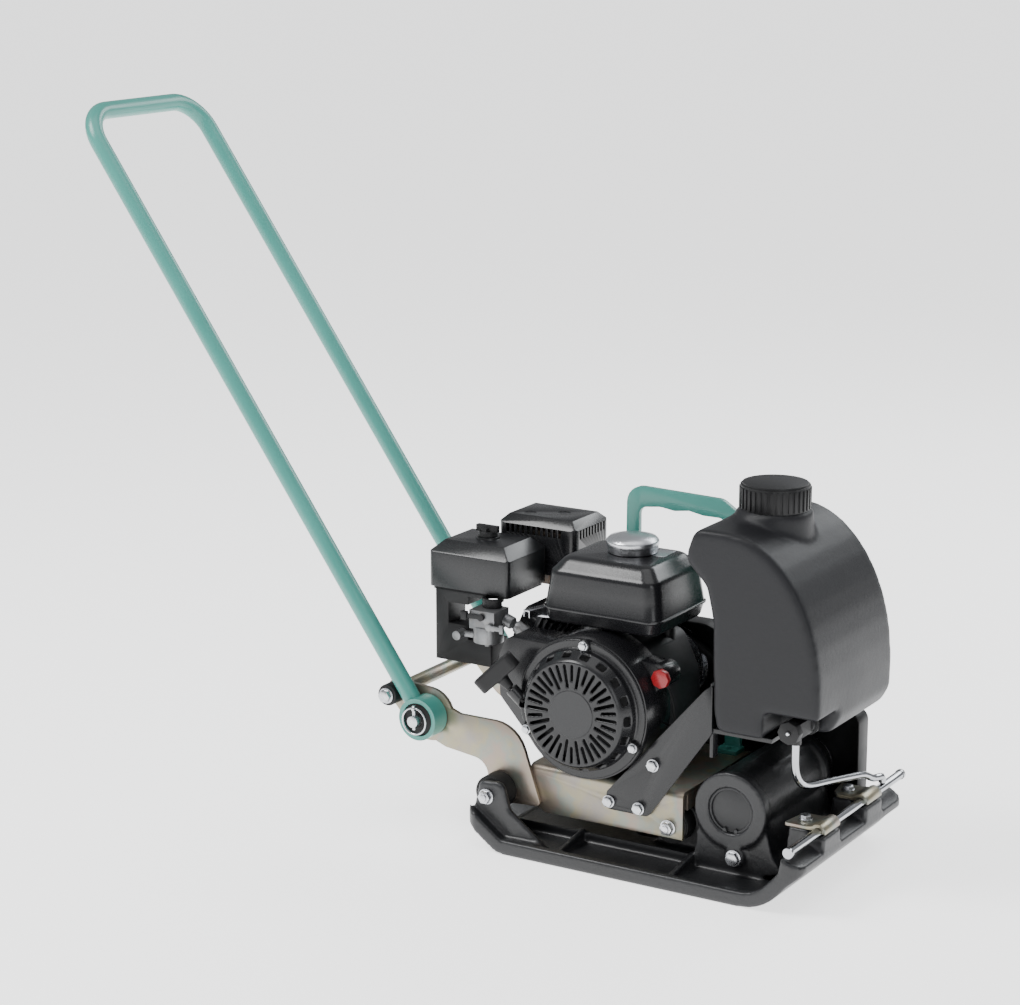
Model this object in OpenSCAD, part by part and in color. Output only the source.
// Plate compactor: vibrating base plate, rubber-mounted engine bed, folding
// handle, small four-stroke engine, belt-driven exciter and sprinkler tank.
// +X is the direction of travel, +Z is up, the origin is the centre of the
// plate's footprint on the ground. All sizes are millimetres.

/* [Base plate] */
// Width of the base plate across the machine
plate_w = 330; // [300:1:420]
// Length of the base plate along the travel direction
plate_l = 500; // [460:1:620]
// Thickness of the sole
sole_t = 12; // [8:0.5:16]
// Angle of the turned-up nose
nose_angle = 48; // [44:1:52]
// Bend radius under the nose
nose_radius = 69; // [60:1:74]
// Angle of the turned-up tail
tail_angle = 36; // [30:1:40]
// Bend radius under the tail
tail_radius = 30; // [26:1:45]
// Height of the side rim above the sole
rim_h = 8; // [4:0.5:12]
// Width of the side rim
rim_w = 13; // [8:0.5:16]
// Thickness of the rear mount lugs
lug_t = 10; // [8:0.5:14]

/* [Rubber mounts] */
// Diameter of a rubber mount
mount_d = 50; // [40:1:56]
// Length of the rear rubber mounts
rear_mount_len = 29; // [22:0.5:36]
// Length of the front rubber mounts
front_mount_len = 26; // [20:0.5:34]
// Stud diameter of the mounts
stud_d = 10; // [8:1:12]

/* [Engine bed] */
// Sheet thickness of the folded engine bed
bed_t = 6; // [4:0.5:8]
// Height of the top of the bed above the ground
bed_z = 113; // [108:1:124]
// Depth of the bed's side walls
bed_drop = 66; // [58:1:72]
// Plate thickness of the handle arms
arm_t = 6; // [4:0.5:10]

/* [Handle] */
// Handle length from pivot to top bar
handle_l = 976; // [780:1:1180]
// Outer diameter of the handle tube
handle_d = 25; // [20:0.5:30]
// Wall thickness of the handle tube
handle_wall = 2.5; // [1.5:0.25:4]
// Bend radius of the two top corners
handle_bend = 50; // [35:1:80]
// Lean of the handle behind vertical when it rests on its stops
handle_lean = 35.36; // [25:0.01:45]
// Height of the pivot
pivot_z = 158; // [150:1:170]
// Outer diameter of the handle boss
boss_d = 59; // [52:1:66]
// Length of the handle boss
boss_len = 30; // [24:1:40]
// Diameter of the pivot pin
pin_d = 16; // [12:0.5:20]
// Diameter of the rubber bump stop
stop_d = 30; // [24:1:36]

/* [Engine] */
// Height of the crankshaft above the bed
crank_h = 97; // [92:1:106]
// Outer radius of the fan cover
fan_r = 97.5; // [92:0.5:104]
// Radius of the slotted recoil face
recoil_r = 74; // [66:1:80]
// Angle of the cylinder above horizontal
cylinder_angle = 25; // [15:1:30]
// Diameter of the fuel cap
fuel_cap_d = 72; // [60:1:80]
// Crankshaft diameter at the drive end
crank_d = 20; // [18:0.5:25]
// Length of the starter rope that can be pulled out
rope_travel = 450; // [300:10:500]
// Radius at which the starter rope winds on its reel
reel_r = 30; // [26:0.5:32]

/* [Exciter and belt] */
// Height of the exciter shaft
exciter_z = 100; // [94:1:110]
// Outer radius of the exciter tube
exciter_r = 49; // [44:0.5:52]
// Bore radius of the exciter tube
exciter_bore = 31; // [28:0.5:35]
// Diameter of the exciter shaft
exciter_shaft_d = 25; // [20:0.5:30]
// Pitch radius of the clutch drum
clutch_r = 50; // [42:0.5:56]
// Pitch radius of the exciter pulley
pulley_r = 32; // [26:0.5:38]
// Width of the drive belt
belt_w = 12; // [9:0.5:15]

/* [Water tank and sprinkler] */
// Width of the water tank
tank_w = 230; // [200:1:260]
// Height of the tank floor above the ground
tank_z = 210; // [204:1:220]
// Wall thickness of the water tank
tank_wall = 5; // [3:0.5:7]
// Diameter of the water cap
water_cap_d = 94; // [86:1:100]
// Diameter of the sprinkler bar
bar_d = 12; // [10:0.5:14]
// Length of the sprinkler bar
bar_l = 344; // [320:1:400]
// Diameter of the feed pipe
pipe_d = 10; // [8:0.5:12]

/* [Fits] */
// Radial clearance of a running fit
run_gap = 0.05; // [0.02:0.01:0.1]
// Clearance between parts that move past each other
pass_gap = 0.5; // [0.3:0.1:1]

/* [Hidden] */
$fn = 48;

teal = [0.33, 0.63, 0.59];
zinc = [0.66, 0.64, 0.57];
steel = [0.75, 0.76, 0.78];
cast_black = [0.11, 0.11, 0.12];
gloss_black = [0.08, 0.08, 0.09];
plastic_black = [0.16, 0.16, 0.16];
alloy = [0.55, 0.56, 0.57];

// Plate and what is placed from it
half_w = plate_w / 2;
half_l = plate_l / 2;
rim_top = sole_t + rim_h;
lug_inset = 17;
lug_out_y = half_w - lug_inset;
lug_in_y = lug_out_y - lug_t;
arm_out_y = lug_in_y - rear_mount_len;
bed_y = arm_out_y - arm_t;
rear_mount_x = -half_l + 26;
rear_mount_z = 72;
exciter_x = half_l - 132;
exciter_half = bed_y - 3;
front_mount_x = exciter_x - 88;
front_mount_z = 62;
front_lug_y = bed_y - bed_t - front_mount_len;
lip_z = 60.5;
deck_top = 26;
deck_y = bed_y - 11;
ring_r = exciter_r + 3;

// Bed and arms
bed_x0 = rear_mount_x + 42;
bed_x1 = front_mount_x + 21;
pivot_x = rear_mount_x - 117;
stop_x = pivot_x - 52;
stop_z = pivot_z + 25.5;
pin_r = pin_d / 2;
washer_t = 1.5;
boss_in_y = arm_out_y + washer_t;
boss_out_y = boss_in_y + boss_len;
leg_y = boss_in_y + boss_len / 2;
tube_r = handle_d / 2;
stop_len = boss_out_y - arm_out_y - 4;
pin_end_y = boss_out_y + 12;
linch_y = boss_out_y + 7;
linch_ring_r = 18.5;
linch_wire_r = 1.4;
linch_z = pivot_z + linch_ring_r;

bracket_bolts = [[bed_x0 + 125, bed_z - 29], [bed_x0 + 170, bed_z - 31]];

// Engine
engine_x = (bed_x0 + bed_x1) / 2 - 27;
crank_z = bed_z + crank_h;
crank_r = crank_d / 2;
case_y0 = -46;
case_y1 = 66;
cover_t = 8;
bore_y = 10;
plug_seat = [-20, 30, 128];
exhaust_z = 131;
fan_y0 = -119;
fan_y1 = -54;
recoil_y = -148;
flange_angles = [86, 206, 335];
flange_bolt_r = 90;
fly_y0 = -98;
fly_y1 = -70;
skin_t = 2.5;
tank_x0 = engine_x - 79;
tank_x1 = engine_x + 85;
fuel_y0 = -82;
fuel_y1 = 58;
fuel_z0 = crank_z + 99;
fuel_z1 = crank_z + 190;
fuel_belt_z = crank_z + 132;
fuel_cap_x = engine_x + 8;
fuel_cap_y = 0;
filter_x0 = engine_x - 288;
filter_x1 = engine_x - 159;
filter_y0 = -48;
filter_y1 = 56;
filter_z0 = crank_z + 108;
filter_z1 = crank_z + 177;
filter_cx = (filter_x0 + filter_x1) / 2;
filter_cy = (filter_y0 + filter_y1) / 2;
guard_x0 = engine_x - 240;
guard_x1 = engine_x - 114;
guard_y0 = 57.5;
guard_y1 = 152;
guard_z0 = crank_z + 100;
guard_z1 = crank_z + 199;
carb_x = engine_x - 184;
carb_y = -62;
carb_z = crank_z + 50;
pull_dir = [-0.655, -0.22, 0.723];
pull_x = engine_x - 96;
pull_y = -137;
pull_z = crank_z + 14;
grip_out = 22;
throttle_x = engine_x - 105;
throttle_y = -30;
switch_x = engine_x + 103;
switch_z = crank_z + 51;
switch_y = -88;

// Belt drive
belt_y = bed_y + 27;
belt_t = 8;
groove_r = belt_t / 2 + pass_gap;
belt_dx = exciter_x - engine_x;
belt_dz = exciter_z - crank_z;
belt_len = norm([belt_dx, belt_dz]);
belt_dir = atan2(belt_dz, belt_dx);
drive_end_y = belt_y + 13;

// Water tank and sprinkler
neck_x = exciter_x + 7;
neck_r = 51;
neck_top = tank_z + 276;
tank_top = tank_z + 265;
tank_front = exciter_x + 129;
tank_back = exciter_x - 25;
bar_x = half_l - 11.3;
bar_z = 91;
clamp_y = 66;
clamp_w = 46;
clamp_t = 4.5;
clamp_seat_z = bar_z + 1;
clamp_bolt_x = bar_x - 28;
tap_x = exciter_x + 86;
tap_z = tank_z + 14;
tap_wall_y = -50;
tap_knob_y = -98;
notch_z = tank_z + 36;
notch_x = exciter_x + 50;

// ---------- helpers ----------

// Extrudes an outline drawn in (x, z) from y0 to y1
module along_y(y0, y1) {
    translate([0, y1, 0]) rotate([90, 0, 0]) linear_extrude(y1 - y0) children();
}

// Extrudes an outline drawn in (y, z) from x0 to x1
module along_x(x0, x1) {
    translate([x0, 0, 0]) rotate([90, 0, 90]) linear_extrude(x1 - x0) children();
}

// Round bar along Y centred on (x, z)
module bar_y(x, z, r, y0, y1) {
    translate([x, y0, z]) rotate([-90, 0, 0]) cylinder(r = r, h = y1 - y0);
}

// Turns a profile given as (radius, y) about the Y axis through (x, z)
module turned_y(x, z) {
    translate([x, 0, z]) rotate([-90, 0, 0]) rotate_extrude() children();
}

// Draws the children on both sides of the machine
module both_sides() {
    children();
    mirror([0, 1, 0]) children();
}

function unit(v) = v / norm(v);

// Points that replace corner b of the path a, b, c with an arc of radius r
function corner_arc(a, b, c, r, n = 6) =
    let (u = unit(a - b), v = unit(c - b), half = acos(max(-1, min(1, u * v))) / 2)
    r <= 0 || half > 89.5 ? [b] :
    let (d = r / tan(half), mid = b + unit(u + v) * r / sin(half), s = b + u * d, e = b + v * d)
    let (a0 = atan2(s[1] - mid[1], s[0] - mid[0]), a1 = atan2(e[1] - mid[1], e[0] - mid[0]))
    let (turn = a1 - a0 > 180 ? a1 - a0 - 360 : a1 - a0 < -180 ? a1 - a0 + 360 : a1 - a0)
    [for (i = [0 : n]) mid + r * [cos(a0 + turn * i / n), sin(a0 + turn * i / n)]];

// Outline with rounded corners; r is one radius or one radius per corner
function rounded(pts, r) =
    let (n = len(pts))
    [for (i = [0 : n - 1])
        each corner_arc(pts[(i + n - 1) % n], pts[i], pts[(i + 1) % n], is_list(r) ? r[i] : r)];

// Anticlockwise outline moved inwards by d
function inset(pts, d) =
    let (n = len(pts))
    [for (i = [0 : n - 1])
        let (u = unit(pts[i] - pts[(i + n - 1) % n]), v = unit(pts[(i + 1) % n] - pts[i]))
        let (nu = [-u[1], u[0]], nv = [-v[1], v[0]])
        pts[i] + (nu + nv) / (1 + nu * nv) * d];

function rect_points(x0, x1, y0, y1) = [[x0, y0], [x1, y0], [x1, y1], [x0, y1]];

// Box with rounded upright edges and a chamfer round its top
module chamfer_box(x0, x1, y0, y1, z0, z1, run, rise, r) {
    intersection() {
        translate([0, 0, z0]) linear_extrude(z1 - z0) polygon(rounded(rect_points(x0, x1, y0, y1), r));
        along_y(y0 - 1, y1 + 1)
            polygon([[x0, z0], [x1, z0], [x1, z1 - rise], [x1 - run, z1], [x0 + run, z1], [x0, z1 - rise]]);
        along_x(x0 - 1, x1 + 1)
            polygon([[y0, z0], [y1, z0], [y1, z1 - rise], [y1 - run, z1], [y0 + run, z1], [y0, z1 - rise]]);
    }
}

// Tube swept along a list of points, as one closed skin
module swept_tube(path, r, sides = 12) {
    n = len(path);
    function heading(i) = unit(path[min(i + 1, n - 1)] - path[max(i - 1, 0)]);
    function side_axis(h) = unit(cross(h, abs(h[0]) < 0.9 ? [1, 0, 0] : [0, 1, 0]));
    rings = [for (i = [0 : n - 1])
        let (h = heading(i), u = side_axis(h), v = cross(h, u))
        for (k = [0 : sides - 1]) path[i] + r * (cos(360 * k / sides) * u + sin(360 * k / sides) * v)];
    walls = [for (i = [0 : n - 2]) for (k = [0 : sides - 1])
        [i * sides + k, (i + 1) * sides + k, (i + 1) * sides + (k + 1) % sides, i * sides + (k + 1) % sides]];
    start_cap = [for (k = [0 : sides - 1]) k];
    end_cap = [for (k = [0 : sides - 1]) n * sides - 1 - k];
    polyhedron(rings, concat(walls, [start_cap], [end_cap]));
}

// Smooth points through a hand-set route, per spans in each stretch
function spline(p, per = 5) =
    let (n = len(p))
    concat([for (i = [0 : n - 2]) for (k = [0 : per - 1])
        let (a = p[max(i - 1, 0)], b = p[i], c = p[i + 1], d = p[min(i + 2, n - 1)], t = k / per)
        0.5 * (2 * b + (c - a) * t + (2 * a - 5 * b + 4 * c - d) * t * t + (3 * b - 3 * c + d - a) * t * t * t)],
        [p[n - 1]]);

// Hex flange bolt with its head above z = 0 and its shank below
module hex_bolt(thread, shank) {
    cylinder(d = thread * 2.2, h = thread * 0.25);
    cylinder(d = thread * 1.85, h = thread * 0.85, $fn = 6);
    translate([0, 0, -shank]) cylinder(d = thread, h = shank + 0.1);
}

// Points +Y bolts: head outwards at y on the left or right side
module side_bolt(x, z, y, thread, shank, side) {
    translate([x, side * y, z]) rotate([side < 0 ? 90 : -90, 0, 0]) hex_bolt(thread, shank);
}

// ---------- base plate ----------

// Line that lies off above the underside, from tail to nose
function sole_line(off) =
    let (xt = -half_l + 60, xn = half_l - 85, rt = tail_radius - off, rn = nose_radius - off)
    let (xe = xt - rt * sin(tail_angle), ze = tail_radius - rt * cos(tail_angle))
    concat([[-half_l - 5, ze + (xe + half_l + 5) * tan(tail_angle)]],
        [for (i = [6 : -1 : 0]) let (a = tail_angle * i / 6) [xt - rt * sin(a), tail_radius - rt * cos(a)]],
        [for (i = [0 : 8]) let (a = nose_angle * i / 8) [xn + rn * sin(a), nose_radius - rn * cos(a)]],
        [[half_l + 5, nose_radius - rn * cos(nose_angle) + (half_l + 5 - xn - rn * sin(nose_angle)) * tan(nose_angle)]]);

function reversed(p) = [for (i = [len(p) - 1 : -1 : 0]) p[i]];

function band(lo, hi) = concat(sole_line(lo), reversed(sole_line(hi)));

module plate_plan(h) {
    translate([0, 0, -1]) linear_extrude(h) polygon(rounded(rect_points(-half_l, half_l, -half_w, half_w), 20));
}

module sole() {
    intersection() {
        plate_plan(140);
        along_y(-half_w - 2, half_w + 2)
            polygon([[-half_l - 2, -2], [half_l + 2, -2], [half_l + 2, lip_z + 4], [half_l - 27, lip_z + 16],
                [half_l - 27, 140], [-half_l - 2, 140]]);
        union() {
            along_y(-half_w - 1, half_w + 1) polygon(band(0, sole_t));
            along_y(-half_w - 1, half_w + 1)
                polygon([[half_l + 1, lip_z - 4], [half_l + 1, lip_z + 20], [half_l - 27, lip_z + 20],
                    [half_l - 31, lip_z - 6], [half_l - 42, lip_z - 30], [half_l - 34, lip_z - 34]]);
            both_sides() along_y(half_w - rim_w, half_w + 1) polygon(band(sole_t - 3, rim_top));
            along_x(-half_l, -half_l + 9) polygon(rect_points(-half_w, half_w, 40, 52));
        }
    }
}

module rear_lug() {
    along_y(lug_in_y, lug_out_y)
        polygon(rounded([[rear_mount_x - 24, 38], [rear_mount_x + 22, 6], [rear_mount_x + 50, 6],
            [rear_mount_x + 24, rear_mount_z + 22], [rear_mount_x - 12, rear_mount_z + 21]], [2, 0, 0, 11, 11]));
    along_y(lug_in_y + 2, lug_out_y - 1)
        polygon([[rear_mount_x + 30, 6], [rear_mount_x + 94, 6], [rear_mount_x + 92, 15],
            [rear_mount_x + 34, rear_mount_z - 14]]);
}

module cross_rib(x) {
    along_x(x - 4, x + 4) polygon([[deck_y - 6, 6], [half_w - 6, 6], [half_w - 8, rim_top], [deck_y - 6, deck_top + 5]]);
}

module front_lug() {
    along_y(front_lug_y - 10, front_lug_y)
        polygon(rounded([[front_mount_x - 40, 10], [front_mount_x + 44, 10], [front_mount_x + 22, front_mount_z + 24],
            [front_mount_x - 20, front_mount_z + 24]], [0, 0, 20, 20]));
}

module clamp_block() {
    along_y(clamp_y - clamp_w / 2 - 3, clamp_y + clamp_w / 2 + 3)
        polygon([[clamp_bolt_x - 18, 16], [clamp_bolt_x - 12, clamp_seat_z], [bar_x - 15, clamp_seat_z],
            [bar_x - 8, bar_z - bar_d / 2 - 0.2], [half_l - 0.5, bar_z - bar_d / 2 - 0.2], [half_l - 0.5, lip_z + 2],
            [clamp_bolt_x + 6, 24]]);
}

module exciter_tube() {
    bar_y(exciter_x, exciter_z, exciter_r, -exciter_half, exciter_half);
    both_sides() bar_y(exciter_x, exciter_z, ring_r, exciter_half - 16, exciter_half);
    along_y(-exciter_half + 6, exciter_half - 6)
        polygon(rounded([[exciter_x - 56, 8], [exciter_x + 22, 8], [exciter_x + 74, 26], [exciter_x + 60, 46],
            [exciter_x + 47, exciter_z - 8], [exciter_x - 47, exciter_z - 8], [exciter_x - 52, 50]],
            [0, 0, 0, 14, 0, 0, 0]));
    translate([exciter_x, 0, exciter_z]) rotate([0, 16, 0])
        translate([-15, -30, exciter_r - 6]) cube([30, 110, 7.5]);
    bar_y(exciter_x + 8, exciter_z - 62, 14, -exciter_half - 1, -exciter_half + 20);
}

module base_plate() {
    color(cast_black) difference() {
        union() {
            sole();
            along_y(-deck_y, deck_y)
                polygon(rounded([[rear_mount_x + 8, 6], [exciter_x - 40, 6], [exciter_x - 40, deck_top],
                    [rear_mount_x + 14, deck_top]], [0, 0, 0, 5]));
            both_sides() {
                rear_lug();
                cross_rib(engine_x - 15);
                cross_rib(exciter_x - 57);
                front_lug();
                clamp_block();
            }
            exciter_tube();
        }
        bar_y(exciter_x, exciter_z, exciter_bore, -exciter_half - 5, exciter_half + 5);
        both_sides() bar_y(exciter_x, exciter_z, exciter_bore + 1.6, exciter_half - 5.2, exciter_half - 3);
        both_sides() {
            bar_y(rear_mount_x, rear_mount_z, stud_d / 2 + 0.25, lug_in_y - 5, lug_out_y + 5);
            bar_y(front_mount_x, front_mount_z, stud_d / 2 + 0.25, front_lug_y - 15, front_lug_y + 5);
            translate([clamp_bolt_x, clamp_y, clamp_seat_z - 26]) cylinder(d = 8.5, h = 40);
        }
        bar_y(exciter_x + 8, exciter_z - 62, 5.25, -exciter_half - 5, -exciter_half + 14);
        translate([-40, -60, deck_top - 12]) cube([70, 120, 20]);
    }
}

// ---------- rubber mounts ----------

module mount_cushion(x, z, y0, y1) {
    bar_y(x, z, mount_d / 2, y0 + 2, y1 - 2);
    bar_y(x, z, mount_d / 2 - 1.5, y0, y0 + 2.1);
    bar_y(x, z, mount_d / 2 - 1.5, y1 - 2.1, y1);
}

module rubber_mounts() {
    color(plastic_black) both_sides() {
        difference() {
            mount_cushion(rear_mount_x, rear_mount_z, arm_out_y, lug_in_y);
            bar_y(rear_mount_x, rear_mount_z, stud_d / 2 + 0.05, arm_out_y - 1, lug_in_y + 1);
        }
        difference() {
            mount_cushion(front_mount_x, front_mount_z, front_lug_y, bed_y - bed_t);
            bar_y(front_mount_x, front_mount_z, stud_d / 2 + 0.05, front_lug_y - 1, bed_y);
        }
    }
}

// Stud with a flange nut on each end, from y0 to y1
module mount_stud(x, z, y0, y1) {
    bar_y(x, z, stud_d / 2, y0 - 11, y1 + 11);
    for (end = [[y1, 1], [y0, -1]])
        translate([x, end[0], z]) rotate([-90 * end[1], 0, 0]) {
            cylinder(d = stud_d * 2.2, h = 2.5);
            cylinder(d = stud_d * 1.85, h = 9, $fn = 6);
        }
}

module mount_nuts() {
    color(steel) both_sides() {
        mount_stud(rear_mount_x, rear_mount_z, arm_out_y - arm_t, lug_out_y);
        mount_stud(front_mount_x, front_mount_z, front_lug_y - 10, bed_y);
    }
}

// ---------- bed and arms ----------

module engine_bed() {
    zb = bed_z - bed_drop;
    outer = [[-bed_y, zb], [-bed_y + bed_t, zb], [-bed_y + bed_t, bed_z - bed_t], [bed_y - bed_t, bed_z - bed_t],
        [bed_y - bed_t, zb], [bed_y, zb], [bed_y, bed_z], [-bed_y, bed_z]];
    color(zinc) difference() {
        union() {
            along_x(bed_x0, bed_x1) polygon(rounded(outer, [1, 1, 3, 3, 1, 1, 9, 9]));
            along_x(bed_x1 - 5, bed_x1) polygon(rect_points(-bed_y + 14, bed_y - 14, bed_z - 28, bed_z - 2));
        }
        both_sides() bar_y(front_mount_x, front_mount_z, stud_d / 2 + 0.25, bed_y - bed_t - 2, bed_y + 2);
        both_sides() bar_y(rear_mount_x, rear_mount_z, 12, bed_y - bed_t - 2, bed_y + 2);
        for (dx = [-58, 58], y = [-32, 52]) translate([engine_x + dx, y, bed_z - 20]) cylinder(d = 8.5, h = 30);
        both_sides() for (p = bracket_bolts) bar_y(p[0], p[1], 4.25, bed_y - bed_t - 1, bed_y + 1);
        both_sides() along_y(bed_y - bed_t - 1, bed_y + 1)
            polygon([[bed_x0 - 1, bed_z - bed_drop - 1], [bed_x0 + 26, bed_z - bed_drop - 1],
                [bed_x0 - 1, bed_z - bed_drop + 14]]);
    }
}

lobe_r = 38;
stop_lobe_r = 17;

function arc_points(c, r, a0, a1, n) = [for (i = [0 : n]) let (a = a0 + (a1 - a0) * i / n) c + r * [cos(a), sin(a)]];

// Side view of a handle arm: foot, sloping neck, pivot lobe and stop lobe
function arm_pts() =
    let (pivot = [pivot_x, pivot_z], stop = [stop_x, stop_z], reach = norm(stop - pivot))
    let (dir = atan2(stop_z - pivot_z, stop_x - pivot_x), open = acos((lobe_r - stop_lobe_r) / reach))
    concat(
        [[rear_mount_x - 22, bed_z - 62], [bed_x0 + 20, bed_z - 57], [rear_mount_x + 24, pivot_z + 8],
            [pivot_x + 50, pivot_z + 8]],
        arc_points(pivot, lobe_r, 20, dir - open, 6),
        arc_points(stop, stop_lobe_r, dir - open, dir + open, 10),
        arc_points(pivot, lobe_r, dir + open, 285, 6),
        [[pivot_x + 26, pivot_z - 43], [rear_mount_x - 22, bed_z - 7]]);

arm_radii = concat([12, 6, 50, 9], [for (i = [0 : 24]) 0], [12, 24]);

module arm_outline() {
    polygon(rounded(arm_pts(), arm_radii));
}

module arm() {
    difference() {
        along_y(bed_y, arm_out_y) arm_outline();
        bar_y(rear_mount_x, rear_mount_z, stud_d / 2 + 0.25, bed_y - 2, arm_out_y + 2);
        bar_y(pivot_x, pivot_z, pin_r, bed_y - 2, arm_out_y + 2);
        bar_y(stop_x, stop_z, 5.25, bed_y - 2, arm_out_y + 2);
    }
}

module arm_right() {
    color(zinc) arm();
}

module arm_left() {
    color(zinc) mirror([0, 1, 0]) arm();
}

module cross_tube() {
    color(zinc) difference() {
        bar_y(stop_x, stop_z, 10, -bed_y, bed_y);
        bar_y(stop_x, stop_z, 5.25, -bed_y - 1, bed_y + 1);
    }
}

module bump_stops() {
    color(plastic_black) both_sides() difference() {
        bar_y(stop_x, stop_z, stop_d / 2, arm_out_y, arm_out_y + stop_len);
        bar_y(stop_x, stop_z, 5.25, arm_out_y - 1, arm_out_y + stop_len + 1);
    }
}

// ---------- handle ----------

module in_handle_frame() {
    translate([pivot_x, 0, pivot_z]) rotate([0, -handle_lean, 0]) children();
}

module tube_ring() {
    difference() {
        circle(r = tube_r);
        circle(r = tube_r - handle_wall);
    }
}

module handle_frame() {
    straight = handle_l - handle_bend;
    color(teal) union() {
        in_handle_frame() {
            both_sides() difference() {
                translate([0, leg_y, boss_d / 2 - 6]) linear_extrude(straight - boss_d / 2 + 6) tube_ring();
                rotate([-90, 0, 0]) cylinder(r = boss_d / 2 - 1, h = 2 * leg_y);
            }
            both_sides() translate([0, leg_y - handle_bend, straight]) rotate([90, 0, 90])
                rotate_extrude(angle = 90) translate([handle_bend, 0]) tube_ring();
            translate([0, -leg_y + handle_bend, handle_l]) rotate([-90, 0, 0])
                linear_extrude(2 * (leg_y - handle_bend)) tube_ring();
        }
        both_sides() difference() {
            bar_y(pivot_x, pivot_z, boss_d / 2, boss_in_y, boss_out_y);
            bar_y(pivot_x, pivot_z, boss_d / 2 - 6, boss_in_y - 1, boss_out_y + 1);
        }
    }
}

module handle_bushes() {
    color(plastic_black) both_sides() difference() {
        union() {
            bar_y(pivot_x, pivot_z, boss_d / 2 - 6, boss_in_y, boss_out_y - 3);
            bar_y(pivot_x, pivot_z, pin_r + 5, boss_in_y, boss_out_y);
        }
        bar_y(pivot_x, pivot_z, pin_r + run_gap, boss_in_y - 1, boss_out_y + 1);
    }
}

module pivot_pins() {
    color(steel) both_sides() {
        difference() {
            union() {
                bar_y(pivot_x, pivot_z, pin_r, bed_y, pin_end_y);
                bar_y(pivot_x, pivot_z, pin_r + 5, bed_y - 5, bed_y);
                bar_y(pivot_x, pivot_z, pin_r + 9, arm_out_y, boss_in_y - 0.3);
            }
            translate([pivot_x, linch_y, pivot_z - 20]) cylinder(r = 2.6, h = 40);
        }
        difference() {
            union() {
                translate([pivot_x, linch_y, pivot_z - 12]) cylinder(r = 2.5, h = 12 + linch_ring_r - 3);
                translate([pivot_x - 2, linch_y, linch_z]) rotate([0, 90, 0]) cylinder(r = 4, h = 4);
            }
            translate([pivot_x - 3, linch_y, linch_z]) rotate([0, 90, 0]) cylinder(r = linch_wire_r + 0.35, h = 6);
        }
    }
}

module linch_ring() {
    translate([pivot_x, linch_y, pivot_z]) rotate([90, 0, 0]) rotate_extrude()
        translate([linch_ring_r, 0]) circle(r = linch_wire_r);
}

module linch_ring_right() {
    color(steel) linch_ring();
}

module linch_ring_left() {
    color(steel) mirror([0, 1, 0]) linch_ring();
}

// ---------- bolts ----------

module hex_bolts() {
    bracket_y = bed_y + 5;
    color(steel) {
        for (side = [-1, 1]) {
            side_bolt(stop_x, stop_z, arm_out_y + stop_len, 10, stop_len + 24, side);
            for (p = bracket_bolts) side_bolt(p[0], p[1], bracket_y, 8, 9, side);
            side_bolt(bed_x0 + 191, bed_z + 33, bracket_y, 8, 6, side);
            translate([clamp_bolt_x, side * clamp_y, clamp_seat_z + clamp_t]) hex_bolt(8, 24);
        }
        side_bolt(exciter_x + 8, exciter_z - 62, exciter_half + 1, 10, 12, -1);
        for (a = flange_angles)
            side_bolt(engine_x + flange_bolt_r * cos(a), crank_z + flange_bolt_r * sin(a), -fan_y0 + 9, 6, 8, -1);
        for (dx = [-58, 58], y = [-32, 52]) translate([engine_x + dx, y, bed_z + 10]) hex_bolt(8, 18);
    }
}

// ---------- engine ----------

// Local frame whose +Z runs along the cylinder, from the crankshaft
module in_cylinder_frame() {
    translate([engine_x, bore_y, crank_z]) rotate([0, cylinder_angle - 90, 0]) children();
}

module crankcase() {
    case_pts = rounded([[engine_x - 82, bed_z], [engine_x + 80, bed_z], [engine_x + 78, crank_z + 20],
        [engine_x + 52, crank_z + 74], [engine_x - 62, crank_z + 82], [engine_x - 86, crank_z + 30]],
        [4, 4, 26, 22, 14, 14]);
    color(cast_black) difference() {
        union() {
            along_y(case_y0, case_y1) polygon(case_pts);
            for (dx = [-58, 58], y = [-32, 52])
                translate([engine_x + dx - 13, y - 13, bed_z]) cube([26, 26, 10]);
            for (dx = [-10, 46]) translate([engine_x + dx, 34, crank_z + 60])
                cylinder(r = 10, h = fuel_z0 - crank_z - 60.2);
            in_cylinder_frame() {
                translate([0, 0, 60]) cylinder(r = 36, h = 58);
                for (k = [0 : 5]) translate([0, 0, 78 + 7 * k]) cylinder(r = 45, h = 2.6);
            }
        }
        bar_y(engine_x, crank_z, 56, case_y0 + 10, case_y1 + 1);
        bar_y(engine_x, crank_z, 20, case_y0 - 1, case_y0 + 11);
        in_cylinder_frame() cylinder(r = 29, h = 130);
        for (dx = [-58, 58], y = [-32, 52]) translate([engine_x + dx, y, bed_z - 1]) cylinder(d = 8.5, h = 11);
        for (dx = [-58, 58], y = [-32, 52])
            translate([engine_x + dx, y, bed_z + 10]) cylinder(r = 11, h = 12);
    }
}

module crankcase_cover() {
    color(cast_black) difference() {
        union() {
            along_y(case_y1, case_y1 + cover_t)
                polygon(rounded([[engine_x - 74, bed_z + 8], [engine_x + 72, bed_z + 8], [engine_x + 70, crank_z + 20],
                    [engine_x + 44, crank_z + 66], [engine_x - 58, crank_z + 66], [engine_x - 76, crank_z + 20]],
                    [14, 14, 24, 22, 22, 20]));
            bar_y(engine_x, crank_z, 30, case_y1, case_y1 + cover_t + 5);
        }
        bar_y(engine_x, crank_z, 20, case_y1 - 1, case_y1 + cover_t + 1);
        bar_y(engine_x, crank_z, crank_r + 0.4, case_y1, case_y1 + cover_t + 6);
    }
}

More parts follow.
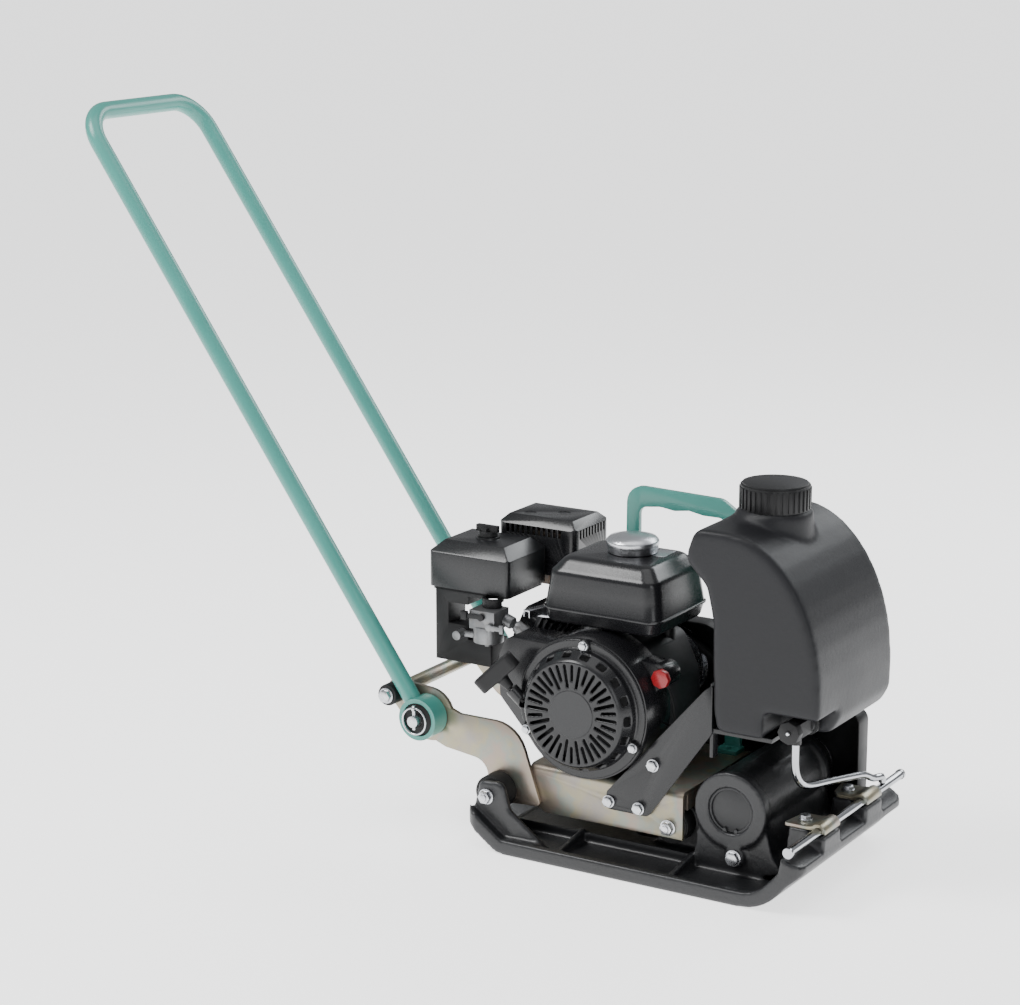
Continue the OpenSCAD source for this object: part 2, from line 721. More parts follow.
module cylinder_head() {
    color(cast_black) in_cylinder_frame() difference() {
        union() {
            translate([-28, -38, 118]) cube([56, 76, 30]);
            for (k = [0 : 2]) translate([-33, -44, 121 + 9 * k]) cube([66, 88, 3]);
        }
        translate([0, 0, 117]) cylinder(r = 26, h = 9);
        translate([0, 0, exhaust_z]) rotate([90, 0, 0]) cylinder(r = 10, h = 60);
        translate([0, 0, exhaust_z]) rotate([-90, 0, 0]) cylinder(r = 10, h = 60);
        translate(plug_seat) rotate([-35, 0, 0]) cylinder(r = 5.05, h = 60);
    }
}

module rocker_cover() {
    color(gloss_black) in_cylinder_frame() difference() {
        translate([0, 0, 148]) linear_extrude(24) polygon(rounded(rect_points(-27, 27, -36, 36), 9));
        translate([0, 0, 147]) linear_extrude(22) polygon(rounded(rect_points(-24.5, 24.5, -33.5, 33.5), 7));
    }
}

module spark_plug() {
    color(steel) in_cylinder_frame() translate(plug_seat) rotate([-35, 0, 0]) {
        translate([0, 0, 8]) cylinder(r = 5, h = 26);
        translate([0, 0, 33]) cylinder(r = 8, h = 7, $fn = 6);
        translate([0, 0, 40]) cylinder(r = 3.5, h = 12);
    }
}

module plug_cap() {
    color(plastic_black) in_cylinder_frame() translate(plug_seat) rotate([-35, 0, 0]) difference() {
        union() {
            translate([0, 0, 42]) cylinder(r = 8, h = 20);
            translate([0, 0, 60]) sphere(r = 8);
        }
        translate([0, 0, 41]) cylinder(r = 3.6, h = 12);
    }
}

module piston() {
    color(alloy) in_cylinder_frame() difference() {
        translate([0, 0, 76]) cylinder(r = 28.9, h = 36);
        translate([0, 0, 75]) cylinder(r = 24, h = 29);
    }
}

module crankshaft() {
    color(steel) {
        bar_y(engine_x, crank_z, crank_r, fly_y0 - 14, case_y0 + 14);
        bar_y(engine_x, crank_z, crank_r, case_y1 - 16, drive_end_y);
        for (y = [case_y0 + 14, case_y1 - 32]) along_y(y, y + 16)
            polygon(rounded([[engine_x - 22, crank_z - 42], [engine_x + 22, crank_z - 42],
                [engine_x + 18, crank_z + 36], [engine_x - 18, crank_z + 36]], [14, 14, 16, 16]));
        bar_y(engine_x, crank_z + 21, 14, case_y0 + 30, case_y1 - 32);
    }
}

module ball_bearing(x, z, y0, y1, r_in, r_out) {
    difference() {
        bar_y(x, z, r_out, y0, y1);
        bar_y(x, z, r_in, y0 - 1, y1 + 1);
    }
}

module crank_bearings() {
    color(steel) {
        ball_bearing(engine_x, crank_z, case_y0, case_y0 + 10, crank_r + run_gap, 20);
        ball_bearing(engine_x, crank_z, case_y1, case_y1 + cover_t, crank_r + run_gap, 20);
    }
}

module flywheel() {
    color(alloy) difference() {
        union() {
            bar_y(engine_x, crank_z, 78, fly_y0 + 6, fly_y1);
            bar_y(engine_x, crank_z, 30, fly_y0 - 12, fly_y0 + 7);
            for (k = [0 : 15]) translate([engine_x, 0, crank_z]) rotate([0, k * 22.5, 0])
                translate([40, fly_y0 - 8, -1.5]) cube([40, 15, 3]);
        }
        bar_y(engine_x, crank_z, crank_r, fly_y0 - 20, fly_y1 + 1);
        bar_y(engine_x, crank_z, 26, fly_y0 - 13, fly_y0 - 2);
        bar_y(engine_x, crank_z, 68, fly_y1 - 14, fly_y1 + 1);
    }
}

function fan_pts() = [[engine_x - 62, crank_z - 84], [engine_x - 30, crank_z - 60], [engine_x - 30, crank_z + 60],
    [engine_x - 20, crank_z + 90], [engine_x - 47, crank_z + 80], [engine_x - 121, crank_z + 79],
    [engine_x - 134, crank_z + 54], [engine_x - 133, crank_z - 5]];

module fan_cover() {
    color(gloss_black) difference() {
        union() {
            bar_y(engine_x, crank_z, fan_r, fan_y0, fan_y1);
            along_y(fan_y0 + 8, fan_y1) polygon(rounded(fan_pts(), [4, 0, 0, 0, 12, 12, 12, 12]));
            bar_y(switch_x - 8, switch_z, 17, switch_y + 2, fan_y1);
            along_y(switch_y + 2, fan_y1)
                polygon([[engine_x + 40, crank_z + 70], [engine_x + 80, crank_z + 20], [switch_x - 4, switch_z - 16],
                    [switch_x - 12, switch_z + 16]]);
        }
        bar_y(engine_x, crank_z, fan_r - skin_t, fan_y0 + skin_t, fan_y1 + 1);
        bar_y(engine_x, crank_z, fan_r - 12, fan_y0 - 1, fan_y0 + 4);
        along_y(fan_y0 + 8 + skin_t, fan_y1 + 1)
            polygon(rounded(inset(fan_pts(), skin_t), [4, 0, 0, 0, 10, 10, 10, 10]));
        bar_y(switch_x, switch_z, 5.3, switch_y + 1, fan_y1 + 1);
        translate([engine_x - 70, -bed_y - 0.4, bed_z - 20]) cube([140, 80, 20.4]);
    }
}

module recoil_housing() {
    ry = recoil_y;
    color(gloss_black) difference() {
        union() {
            turned_y(engine_x, crank_z) polygon([[0, ry], [recoil_r - 3, ry], [recoil_r, ry + 3], [recoil_r + 8.6, ry + 17],
                [recoil_r + 9.2, fan_y0 - 3], [fan_r - 2, fan_y0 - 3], [fan_r - 2, fan_y0], [recoil_r + 6, fan_y0],
                [recoil_r + 5.5, ry + 18], [recoil_r - 3, ry + 4], [10, ry + 4], [10, fan_y0 - 3], [0, fan_y0 - 3]]);
            translate([pull_x, pull_y, pull_z]) rotate([0, 0, atan2(pull_dir[1], pull_dir[0])])
                rotate([0, acos(pull_dir[2]), 0]) translate([0, 0, -26]) cylinder(r = 9, h = 30);
            for (a = flange_angles) translate([engine_x, 0, crank_z]) rotate([0, -a, 0])
                translate([flange_bolt_r, fan_y0 - 9, 0]) rotate([-90, 0, 0]) cylinder(r = 8, h = 9);
        }
        for (a = flange_angles) bar_y(engine_x + flange_bolt_r * cos(a), crank_z + flange_bolt_r * sin(a), 3.2,
            fan_y0 - 10, fan_y0 + 1);
        for (k = [0 : 35]) translate([engine_x, ry - 1, crank_z]) rotate([0, k * 10, 0])
            translate([k % 2 == 0 ? 36 : 45, 0, -1.9]) cube([(k % 2 == 0 ? 32 : 23), 6, 3.8]);
        for (k = [0 : 17]) translate([engine_x, ry + 7, crank_z]) rotate([0, k * 20, 0])
            translate([recoil_r - 4, 0, -6]) cube([15, 9, 12]);
        translate([pull_x, pull_y, pull_z]) rotate([0, 0, atan2(pull_dir[1], pull_dir[0])])
            rotate([0, acos(pull_dir[2]), 0]) translate([0, 0, -40]) cylinder(r = 4.2, h = 80);
    }
}

module starter_reel() {
    color(plastic_black) difference() {
        union() {
            bar_y(engine_x, crank_z, reel_r + 8, recoil_y + 5, recoil_y + 7.5);
            bar_y(engine_x, crank_z, reel_r + 8, recoil_y + 15, recoil_y + 17.5);
            bar_y(engine_x, crank_z, reel_r, recoil_y + 5, recoil_y + 17.5);
        }
        bar_y(engine_x, crank_z, 10 + run_gap, recoil_y + 4, recoil_y + 20);
    }
}

// Local frame whose +Z runs along the starter rope, from the rope guide
module in_pull_frame() {
    translate([pull_x, pull_y, pull_z]) rotate([0, 0, atan2(pull_dir[1], pull_dir[0])])
        rotate([0, acos(pull_dir[2]), 0]) children();
}

module starter_grip() {
    color(plastic_black) in_pull_frame() translate([0, 0, grip_out]) difference() {
        union() {
            translate([0, -11, 0]) linear_extrude(22)
                translate([0, 0]) polygon(rounded(rect_points(-33, 33, 0, 22), 9));
            translate([0, 0, -17]) cylinder(r1 = 6, r2 = 9, h = 19, $fn = 48);
        }
        translate([0, 0, -18]) cylinder(r = 2.6, h = 24);
    }
}

module starter_rope() {
    color([0.2, 0.2, 0.2]) in_pull_frame() translate([0, 0, -20]) cylinder(r = 2.5, h = grip_out + 26);
}

module fuel_tank() {
    color(gloss_black) difference() {
        union() {
            chamfer_box(tank_x0 + 3, tank_x1 - 3, fuel_y0 + 3, fuel_y1 - 3, fuel_belt_z, fuel_z1, 14, 18, 16);
            translate([0, 0, fuel_belt_z - 2]) linear_extrude(4)
                polygon(rounded(rect_points(tank_x0 - 2, tank_x1 + 2, fuel_y0 - 2, fuel_y1 + 2), 18));
            translate([0, 0, fuel_z0]) linear_extrude(fuel_belt_z - fuel_z0)
                polygon(rounded(rect_points(tank_x0 + 4, tank_x1 - 4, fuel_y0 + 4, fuel_y1 - 4), 16));
            translate([fuel_cap_x, fuel_cap_y, fuel_z1 - 1]) cylinder(r = fuel_cap_d / 2 - 7, h = 8);
        }
        chamfer_box(tank_x0 + 6, tank_x1 - 6, fuel_y0 + 6, fuel_y1 - 6, fuel_z0 + 3, fuel_z1 - 3, 14, 18, 13);
        translate([fuel_cap_x, fuel_cap_y, fuel_z1 - 10]) cylinder(r = fuel_cap_d / 2 - 11, h = 20);
    }
}

module fuel_cap() {
    z0 = fuel_z1 + pass_gap;
    color(steel) difference() {
        translate([fuel_cap_x, fuel_cap_y, z0]) rotate_extrude()
            polygon([[0, 0], [fuel_cap_d / 2 - 2, 0], [fuel_cap_d / 2 - 1, 8], [fuel_cap_d / 2, 11],
                [fuel_cap_d / 2, 16], [fuel_cap_d / 2 - 4, 20], [fuel_cap_d / 2 - 16, 23], [0, 24]]);
        translate([fuel_cap_x, fuel_cap_y, z0 - 1]) cylinder(r = fuel_cap_d / 2 - 7 + pass_gap, h = 10);
    }
}

module filter_case() {
    x0 = filter_x0 + 9;
    y0 = filter_y0 + 2;
    z0 = crank_z + 8;
    color(plastic_black) difference() {
        union() {
            chamfer_box(filter_x0 + 3, filter_x1 - 3, filter_y0 + 3, filter_y1 - 3, filter_z0, filter_z0 + 10, 1, 1, 8);
            translate([0, 0, z0]) linear_extrude(filter_z0 - z0 + 1) polygon(rounded(rect_points(x0, x0 + 92, y0, y0 + 44), 3));
            translate([carb_x, carb_y + 16, carb_z + 46.2]) cylinder(r = 15, h = filter_z0 - carb_z - 45.2);
        }
        chamfer_box(filter_x0 + 6, filter_x1 - 6, filter_y0 + 6, filter_y1 - 6, filter_z0 + 3, filter_z0 + 12, 1, 1, 6);
        translate([x0 + 3, y0 + 3, z0 + 3]) cube([86, 38, 28]);
        translate([x0 + 3, y0 + 3, z0 + 3]) cube([16, 38, filter_z0 - z0 - 6]);
        translate([x0 + 54, y0 - 1, z0 + 34]) cube([60, 60, filter_z0 - z0 - 38]);
        translate([x0 + 22, y0 - 1, z0 + 54]) cube([60, 60, 30]);
        translate([carb_x, carb_y + 16, carb_z + 45]) cylinder(r = 11, h = 40);
    }
}

module filter_cover() {
    cover_z0 = filter_z0 + 10;
    color(gloss_black) difference() {
        union() {
            chamfer_box(filter_x0, filter_x1, filter_y0, filter_y1, cover_z0 - 6, filter_z1, 17, 16, 7);
            translate([filter_x0 - 3, filter_cy - 22, cover_z0 - 4]) cube([8, 30, 18]);
            translate([filter_cx, filter_cy, filter_z1 - 1]) cylinder(r = 17, h = 4);
        }
        chamfer_box(filter_x0 + skin_t, filter_x1 - skin_t, filter_y0 + skin_t, filter_y1 - skin_t, cover_z0 - 7,
            filter_z1 - skin_t, 17, 16, 5);
        translate([filter_cx, filter_cy, filter_z1 - 10]) cylinder(r = 3.2, h = 20);
    }
}

module filter_element() {
    color([0.75, 0.7, 0.5]) difference() {
        translate([filter_cx, filter_cy, filter_z0 + 3]) cylinder(r = 42, h = 40);
        translate([filter_cx, filter_cy, filter_z0 + 2]) cylinder(r = 22, h = 42);
    }
}

module filter_knob() {
    color(plastic_black) translate([filter_cx, filter_cy, filter_z1 + 3 + pass_gap]) {
        cylinder(r1 = 14, r2 = 12, h = 7, $fn = 48);
        translate([-17, -4, 6]) cube([34, 8, 9]);
        translate([-4, -11, 6]) cube([8, 22, 6]);
        translate([0, 0, -18]) cylinder(r = 3, h = 20);
    }
}

module carburettor() {
    port = [engine_x - exhaust_z * cos(cylinder_angle), bore_y, crank_z + exhaust_z * sin(cylinder_angle)];
    intake = [port + [0, -37, 0], port + [-2, -50, 2], port + [-14, -54, 9], port + [-28, -55, 18],
        [carb_x + 19, carb_y + 16, carb_z + 31]];
    color(alloy) {
        translate([carb_x, carb_y + 4, carb_z]) cylinder(r = 21, h = 22);
        translate([carb_x - 20, carb_y - 14, carb_z + 20]) cube([40, 38, 26]);
        translate([carb_x, carb_y + 22, carb_z + 32]) rotate([-90, 0, 0]) cylinder(r = 12, h = 12);
        swept_tube(spline(intake, 3), 9, 12);
        translate([carb_x, carb_y + 4, carb_z - 7]) cylinder(r = 6, h = 8, $fn = 6);
        translate([carb_x - 44, carb_y + 8, carb_z + 4]) rotate([90, 0, 0]) cylinder(r = 6.5, h = 18);
        translate([carb_x - 46, carb_y + 2, carb_z + 1]) cube([30, 5, 7]);
    }
}

module choke_lever() {
    color(plastic_black) translate([carb_x, carb_y - 14 - pass_gap, carb_z + 38]) rotate([90, 0, 0]) {
        cylinder(r = 5, h = 4);
        translate([-24, -3, 0]) cube([24, 6, 3.5]);
        translate([-30, -6, 0]) cube([9, 12, 6]);
    }
}

module fuel_lever() {
    color(alloy) translate([carb_x + 14, carb_y - 14 - pass_gap, carb_z + 26]) rotate([90, 0, 0]) {
        cylinder(r = 5, h = 5);
        translate([0, -3, 1]) cube([20, 6, 4]);
        translate([17, -6, 1]) cube([6, 12, 4]);
    }
}

module control_bracket() {
    plate_z = crank_z + 93;
    color(alloy) difference() {
        union() {
            translate([engine_x - 120, -48, plate_z]) cube([93, 70, 3]);
            translate([engine_x - 45, -20, crank_z + 81]) cube([18, 40, 13]);
        }
        translate([throttle_x, throttle_y, plate_z - 1]) cylinder(r = 2.6, h = 5);
    }
}

module throttle_lever() {
    color(alloy) translate([throttle_x, throttle_y, crank_z + 96 + pass_gap]) difference() {
        union() {
            cylinder(r = 8, h = 4);
            rotate([0, 0, -105]) translate([0, -6, 0]) cube([42, 12, 10]);
            translate([0, 0, -8]) cylinder(r = 2.5, h = 9);
        }
        rotate([0, 0, -105]) translate([9, -4.2, -1]) cube([40, 8.4, 9]);
    }
}

module muffler() {
    port = [engine_x - exhaust_z * cos(cylinder_angle), bore_y, crank_z + exhaust_z * sin(cylinder_angle)];
    route = [port + [0, 34, 0], port + [0, 52, 0], port + [0, 66, 3], port + [-8, 78, 14], port + [-22, 84, 32],
        port + [-30, 85, 52]];
    color(plastic_black) {
        difference() {
            chamfer_box(guard_x0 + 12, guard_x1 - 12, guard_y0 + 10, guard_y1 - 10, guard_z0 + 4, guard_z1 - 12,
                8, 8, 14);
            chamfer_box(guard_x0 + 14, guard_x1 - 14, guard_y0 + 12, guard_y1 - 12, guard_z0 + 6, guard_z1 - 14,
                7, 7, 12);
        }
        for (dx = [-26, 26], dy = [-20, 20])
            translate([(guard_x0 + guard_x1) / 2 + dx, (guard_y0 + guard_y1) / 2 + dy, guard_z1 - 14])
                cylinder(r = 4, h = 11.8);
        swept_tube(spline(route, 3), 9.8, 16);
    }
}

module muffler_guard() {
    color(gloss_black) difference() {
        chamfer_box(guard_x0, guard_x1, guard_y0, guard_y1, guard_z0 + 20, guard_z1, 12, 12, 10);
        chamfer_box(guard_x0 + 2, guard_x1 - 2, guard_y0 + 2, guard_y1 - 2, guard_z0 + 19, guard_z1 - 2, 12, 12, 8);
        for (k = [0 : 10]) translate([guard_x0 + 14 + k * 8.4, guard_y0 - 2, guard_z1 - 24]) cube([4, 12, 12]);
        for (k = [0 : 8]) translate([guard_x1 - 10, guard_y0 + 12 + k * 8.2, guard_z1 - 24]) cube([12, 4, 12]);
        for (dx = [36, 78]) translate([guard_x0 + dx, guard_y0 + dx * 0.55 + 8, guard_z1 - 1.2]) cylinder(r = 9, h = 3);
    }
}

module stop_switch() {
    color([0.7, 0.12, 0.12]) union() {
        translate([switch_x, switch_y, switch_z]) rotate([90, 0, 0]) cylinder(r = 13, h = 9, $fn = 8);
        bar_y(switch_x, switch_z, 5, switch_y - 1, switch_y + 18);
    }
}

module switch_lead() {
    route = [[switch_x - 3, switch_y + 20, switch_z - 16.8], [switch_x + 5, switch_y + 20, switch_z - 36],
        [switch_x + 5, switch_y + 24, switch_z - 56], [switch_x + 1, switch_y + 34, switch_z - 74],
        [engine_x + 79.4, switch_y + 46, crank_z - 30]];
    color(plastic_black) swept_tube(spline(route), 1.6, 8);
}

// ---------- belt drive and exciter ----------

function belt_path(r1, r2) =
    let (b = asin((r1 - r2) / belt_len), n = 20)
    concat(
        [for (i = [0 : n]) let (a = belt_dir + (90 - b) + (180 + 2 * b) * i / n)
            [engine_x + r1 * cos(a), crank_z + r1 * sin(a)]],
        [for (i = [0 : n]) let (a = belt_dir - (90 - b) + (180 - 2 * b) * i / n)
            [exciter_x + r2 * cos(a), exciter_z + r2 * sin(a)]]);

module drive_belt() {
    color(plastic_black) difference() {
        along_y(belt_y - belt_w / 2, belt_y + belt_w / 2) polygon(belt_path(clutch_r + belt_t / 2, pulley_r + belt_t / 2));
        along_y(belt_y - belt_w, belt_y + belt_w) polygon(belt_path(clutch_r - belt_t / 2, pulley_r - belt_t / 2));
    }
}

module grooved_wheel(x, z, r, bore) {
    half = belt_w / 2 + pass_gap;
    turned_y(x, z) polygon([[bore, belt_y - half - 3], [r + 4, belt_y - half - 3], [r + 4, belt_y - half],
        [r - groove_r, belt_y - half], [r - groove_r, belt_y + half], [r + 4, belt_y + half],
        [r + 4, belt_y + half + 3], [bore, belt_y + half + 3]]);
}

module clutch_drum() {
    color(steel) difference() {
        grooved_wheel(engine_x, crank_z, clutch_r, crank_r);
        bar_y(engine_x, crank_z, clutch_r - 10, belt_y + 1, belt_y + 20);
    }
}

module exciter_pulley() {
    color(steel) grooved_wheel(exciter_x, exciter_z, pulley_r, exciter_shaft_d / 2);
}

module belt_guard() {
    y0 = bed_y + 13;
    y1 = bed_y + 43;
    pts = [[engine_x - 66, bed_z + 6], [engine_x + 70, bed_z - 10], [exciter_x - 20, exciter_z - 56],
        [exciter_x + 84, exciter_z - 56], [exciter_x + 84, exciter_z + 82], [engine_x + 60, crank_z + 68],
        [engine_x - 66, crank_z + 68]];
    radii = [40, 30, 30, 14, 16, 40, 50];
    color(plastic_black) difference() {
        union() {
            difference() {
                along_y(y0, y1) polygon(rounded(pts, radii));
                along_y(y0 - 1, y1 - skin_t) polygon(rounded(inset(pts, skin_t), [for (r = radii) r - skin_t]));
            }
            for (p = [[bed_x0 + 191, bed_z + 52], [exciter_x - 54, crank_z + 12]])
                bar_y(p[0], p[1], 8, bed_y + 5, y1 - 1);
        }
    }
}

module eccentric_shaft() {
    color(steel) union() {
        bar_y(exciter_x, exciter_z, exciter_shaft_d / 2, -exciter_half + 9, drive_end_y);
        intersection() {
            bar_y(exciter_x, exciter_z, exciter_bore - 3, -exciter_half + 40, exciter_half - 40);
            translate([exciter_x - 50, -exciter_half, exciter_z - 50]) cube([100, 2 * exciter_half, 50]);
        }
    }
}

module exciter_bearings() {
    color(steel) both_sides()
        ball_bearing(exciter_x, exciter_z, exciter_half - 28, exciter_half - 11, exciter_shaft_d / 2 + run_gap,
            exciter_bore);
}

module exciter_covers() {
    e = exciter_half;
    color(gloss_black) {
        bar_y(exciter_x, exciter_z, exciter_bore - 0.1, -e + 5.2, -e + 8.5);
        difference() {
            bar_y(exciter_x, exciter_z, exciter_bore + 1.4, -e + 3.1, -e + 5.1);
            bar_y(exciter_x, exciter_z, exciter_bore - 3, -e + 2, -e + 6);
            translate([exciter_x - 5, -e + 2, exciter_z - 50]) cube([10, 4, 24]);
        }
        difference() {
            bar_y(exciter_x, exciter_z, exciter_bore - 0.1, e - 11, e - 2);
            bar_y(exciter_x, exciter_z, exciter_shaft_d / 2 + run_gap, e - 12, e);
        }
    }
}

// ---------- lifting handle and tank brackets ----------

module lifting_handle() {
    y0 = bed_y - 15;
    y1 = bed_y - 7;
    x0 = engine_x - 54;
    x1 = engine_x + 130;
    top = crank_z + 254;
    color(teal) difference() {
        union() {
            along_y(y0, y1) polygon(rounded([[x0, bed_z], [x0 + 23, bed_z], [x0 + 23, top - 26], [x0 + 56, top - 22],
                [x0 + 78, top - 25], [x0 + 100, top - 22], [x0 + 122, top - 26], [x1 - 27, top - 26], [x1 - 23, bed_z],
                [x1, bed_z], [x1, top - 22], [x1 - 34, top], [x0 + 4, top + 4]],
                [0, 0, 12, 24, 10, 10, 24, 12, 0, 0, 20, 22, 24]));
            for (x = [x0 - 4, x1 - 27]) translate([x, y0 - 20, bed_z]) cube([31, 28, 6]);
        }
        for (x = [x0 + 11, x1 - 12]) translate([x, y0 - 9, bed_z - 1]) cylinder(d = 8.5, h = 12);
    }
}

module tank_brackets() {
    side_pts = rounded([[bed_x0 + 121, bed_z - 40], [bed_x0 + 184, bed_z - 40], [exciter_x - 24, crank_z - 6],
        [exciter_x - 24, tank_z + 60], [bed_x0 + 264, tank_z + 50], [bed_x0 + 121, bed_z - 16]],
        [6, 9, 8, 2, 12, 8]);
    color(gloss_black) {
        both_sides() along_y(bed_y, bed_y + 5) difference() {
            polygon(side_pts);
            for (p = bracket_bolts) translate(p) circle(d = 8.5);
            translate([bed_x0 + 191, bed_z + 33]) circle(d = 8.5);
        }
        along_y(-bed_y, bed_y) polygon([[exciter_x - 29, tank_z - 6], [exciter_x + 60, tank_z - 6],
            [exciter_x + 60, tank_z - 0.3], [exciter_x - 24.3, tank_z - 0.3], [exciter_x - 24.3, tank_z + 60],
            [exciter_x - 29, tank_z + 60]]);
        both_sides() along_y(bed_y - 14, bed_y)
            polygon([[exciter_x - 29, tank_z - 40], [exciter_x - 24.3, tank_z - 40], [exciter_x - 24.3, tank_z - 6],
                [exciter_x - 29, tank_z - 6]]);
    }
}

// ---------- water tank ----------

function tank_pts(front_steps = 10) = concat(
    [[tank_back + 10, tank_z], [tank_front - 15, tank_z], [tank_front - 1, tank_z + 24]],
    [for (i = [0 : front_steps]) let (a = 90 * i / front_steps)
        [tank_front - 137 + 137 * cos(a), tank_z + 62 + 203 * sin(a)]],
    [[exciter_x - 52, tank_top], [exciter_x - 66, tank_top - 42], [exciter_x - 34, tank_z + 192],
        [tank_back + 1, tank_z + 148], [tank_back + 4, tank_z + 30]]);

function tank_radii(front_steps = 10) =
    concat([8, 12, 8], [for (i = [0 : front_steps]) 0], [16, 16, 22, 20, 10]);

module tap_notch(grow) {
    translate([notch_x - grow, -tank_w / 2 - 5, tank_z - 5]) cube([120, tap_wall_y + tank_w / 2 + 5 + grow,
        notch_z - tank_z + 5 + grow]);
}

module water_tank() {
    color([0.2, 0.2, 0.2]) difference() {
        union() {
            difference() {
                along_y(-tank_w / 2, tank_w / 2) polygon(rounded(tank_pts(), tank_radii()));
                tap_notch(0);
            }
            translate([neck_x, 0, tank_top - 40]) cylinder(r = neck_r, h = neck_top - tank_top + 40);
            translate([neck_x, 0, neck_top - 1]) cylinder(r = water_cap_d / 2 - 6, h = 20);
        }
        difference() {
            along_y(-tank_w / 2 + tank_wall, tank_w / 2 - tank_wall) polygon(inset(rounded(tank_pts(), tank_radii()), tank_wall));
            tap_notch(tank_wall);
        }
        translate([neck_x, 0, tank_top - 50]) cylinder(r = water_cap_d / 2 - 10, h = 90);
        bar_y(tap_x, tap_z, 9.2, tap_wall_y - 2, tap_wall_y + tank_wall + 3);
    }
}

module water_cap() {
    z0 = neck_top + pass_gap;
    r = water_cap_d / 2;
    color(plastic_black) difference() {
        union() {
            translate([neck_x, 0, z0]) cylinder(r = r - 1.5, h = 32);
            for (k = [0 : 35]) translate([neck_x, 0, z0 + 2]) rotate([0, 0, k * 10]) translate([r - 3, -2, 0])
                cube([3, 4, 27]);
            translate([neck_x, 0, z0 + 31]) cylinder(r = r - 4, h = 3.5);
        }
        translate([neck_x, 0, z0 - 1]) cylinder(r = r - 6 + pass_gap, h = 23);
    }
}

// ---------- tap and sprinkler ----------

module tap_body() {
    color(plastic_black) difference() {
        union() {
            bar_y(tap_x, tap_z, 9, tap_wall_y - 6, tap_wall_y + tank_wall + 2);
            bar_y(tap_x, tap_z, 17, tap_wall_y - 5, tap_wall_y);
            bar_y(tap_x, tap_z, 13, tap_wall_y - 13, tap_wall_y - 4);
            translate([tap_x - 10, tap_knob_y, tap_z - 10]) cube([20, tap_wall_y - tap_knob_y - 6, 20]);
            translate([tap_x, tap_knob_y + 10, tap_z - 20]) cylinder(r = 7.5, h = 12);
        }
        bar_y(tap_x, tap_z, 5, tap_knob_y + 12, tap_wall_y + tank_wall + 3);
        bar_y(tap_x, tap_z, 3.2, tap_knob_y - 1, tap_knob_y + 13);
        translate([tap_x, tap_knob_y + 10, tap_z - 21]) cylinder(r = pipe_d / 2 + 0.05, h = 12);
    }
}

module tap_knob() {
    color(plastic_black) union() {
        translate([tap_x, tap_knob_y - pass_gap, tap_z]) rotate([90, 0, 0]) {
            cylinder(r = 15.5, h = 12, $fn = 8);
            translate([0, 0, 12]) cylinder(r = 4, h = 2);
        }
        bar_y(tap_x, tap_z, 3, tap_knob_y - 1, tap_knob_y + 9);
    }
}

module feed_pipe() {
    route = [[tap_x, tap_knob_y + 10, tap_z - 11], [tap_x, tap_knob_y + 10, tap_z - 32],
        [tap_x, tap_knob_y + 12, tap_z - 56], [tap_x + 1, tap_knob_y + 24, tap_z - 76],
        [tap_x + 3, tap_knob_y + 48, tap_z - 87], [tap_x + 7, tap_knob_y + 84, tap_z - 93],
        [tap_x + 12, tap_knob_y + 118, tap_z - 98], [tap_x + 18, tap_knob_y + 152, tap_z - 103],
        [tap_x + 23, tap_knob_y + 176, tap_z - 107], [tap_x + 29, tap_knob_y + 194, tap_z - 116],
        [bar_x - 1, tap_knob_y + 211, bar_z + bar_d / 2 + 9], [bar_x, tap_knob_y + 212, bar_z + bar_d / 2 + 0.4]];
    color(steel) swept_tube(spline(route, 3), pipe_d / 2, 12);
}

module sprinkler_bar() {
    half = bar_l / 2;
    color(steel) difference() {
        bar_y(bar_x, bar_z, bar_d / 2, -half, half);
        bar_y(bar_x, bar_z, bar_d / 2 - 1.5, -half + 4, half - 4);
        for (y = [-half + 20 : 24 : half - 10]) translate([bar_x, y, bar_z - bar_d]) cylinder(r = 1, h = bar_d);
        translate([bar_x, tap_knob_y + 212, bar_z]) cylinder(r = 4, h = bar_d);
    }
    color(plastic_black) both_sides() bar_y(bar_x, bar_z, bar_d / 2 + 1, half, half + 5);
}

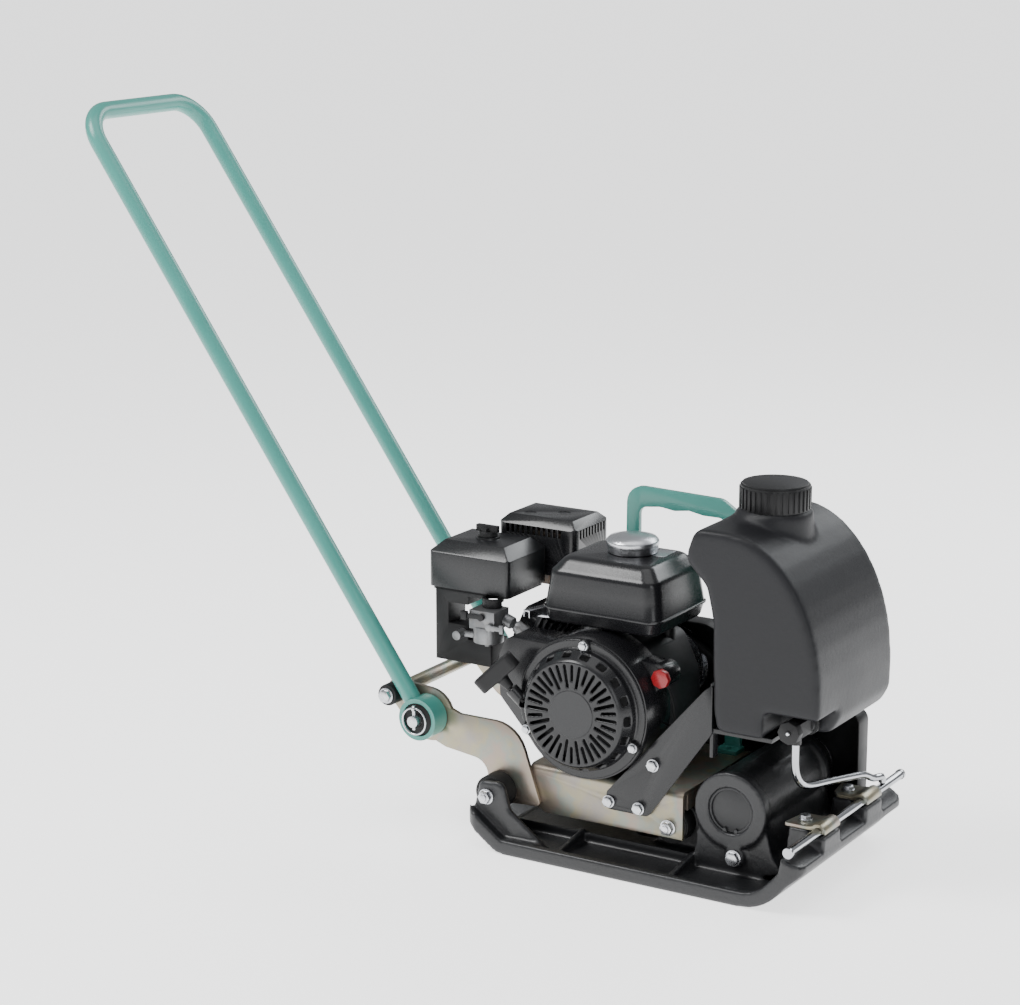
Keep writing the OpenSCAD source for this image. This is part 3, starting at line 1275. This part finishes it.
module bar_clamp() {
    r_in = bar_d / 2 + 0.15;
    r_out = r_in + clamp_t;
    z0 = clamp_seat_z;
    profile = concat(
        [[bar_x - 48, z0], [bar_x - r_out - 3, z0]],
        [for (i = [0 : 8]) let (a = 168 - 178 * i / 8) [bar_x + r_in * cos(a), bar_z + r_in * sin(a)]],
        [for (i = [0 : 8]) let (a = -10 + 150 * i / 8) [bar_x + r_out * cos(a), bar_z + r_out * sin(a)]],
        [[bar_x - r_out - 5, z0 + clamp_t], [bar_x - 48, z0 + clamp_t]]);
    difference() {
        intersection() {
            along_y(clamp_y - clamp_w / 2, clamp_y + clamp_w / 2) polygon(profile);
            translate([0, 0, bar_z - 20]) linear_extrude(60)
                polygon(rounded([[bar_x - 48, clamp_y + clamp_w / 2], [bar_x - 42, clamp_y - clamp_w / 2 + 10],
                    [bar_x - 34, clamp_y - clamp_w / 2], [bar_x + 20, clamp_y - clamp_w / 2],
                    [bar_x + 20, clamp_y + clamp_w / 2]], [3, 3, 3, 0, 0]));
        }
        translate([clamp_bolt_x, clamp_y, bar_z - 10]) cylinder(d = 8.5, h = 30);
    }
}

module bar_clamps() {
    color(zinc) both_sides() bar_clamp();
}

base_plate();
rubber_mounts();
mount_nuts();
engine_bed();
arm_left();
arm_right();
cross_tube();
bump_stops();
hex_bolts();
pivot_pins();
linch_ring_left();
linch_ring_right();
handle_frame();
handle_bushes();
crankcase();
crankcase_cover();
cylinder_head();
rocker_cover();
spark_plug();
plug_cap();
piston();
crankshaft();
crank_bearings();
flywheel();
fan_cover();
recoil_housing();
starter_reel();
starter_grip();
starter_rope();
fuel_tank();
fuel_cap();
filter_case();
filter_cover();
filter_element();
filter_knob();
carburettor();
choke_lever();
fuel_lever();
control_bracket();
throttle_lever();
muffler();
muffler_guard();
stop_switch();
switch_lead();
clutch_drum();
drive_belt();
belt_guard();
eccentric_shaft();
exciter_bearings();
exciter_pulley();
exciter_covers();
lifting_handle();
tank_brackets();
water_tank();
water_cap();
tap_body();
tap_knob();
feed_pipe();
sprinkler_bar();
bar_clamps();
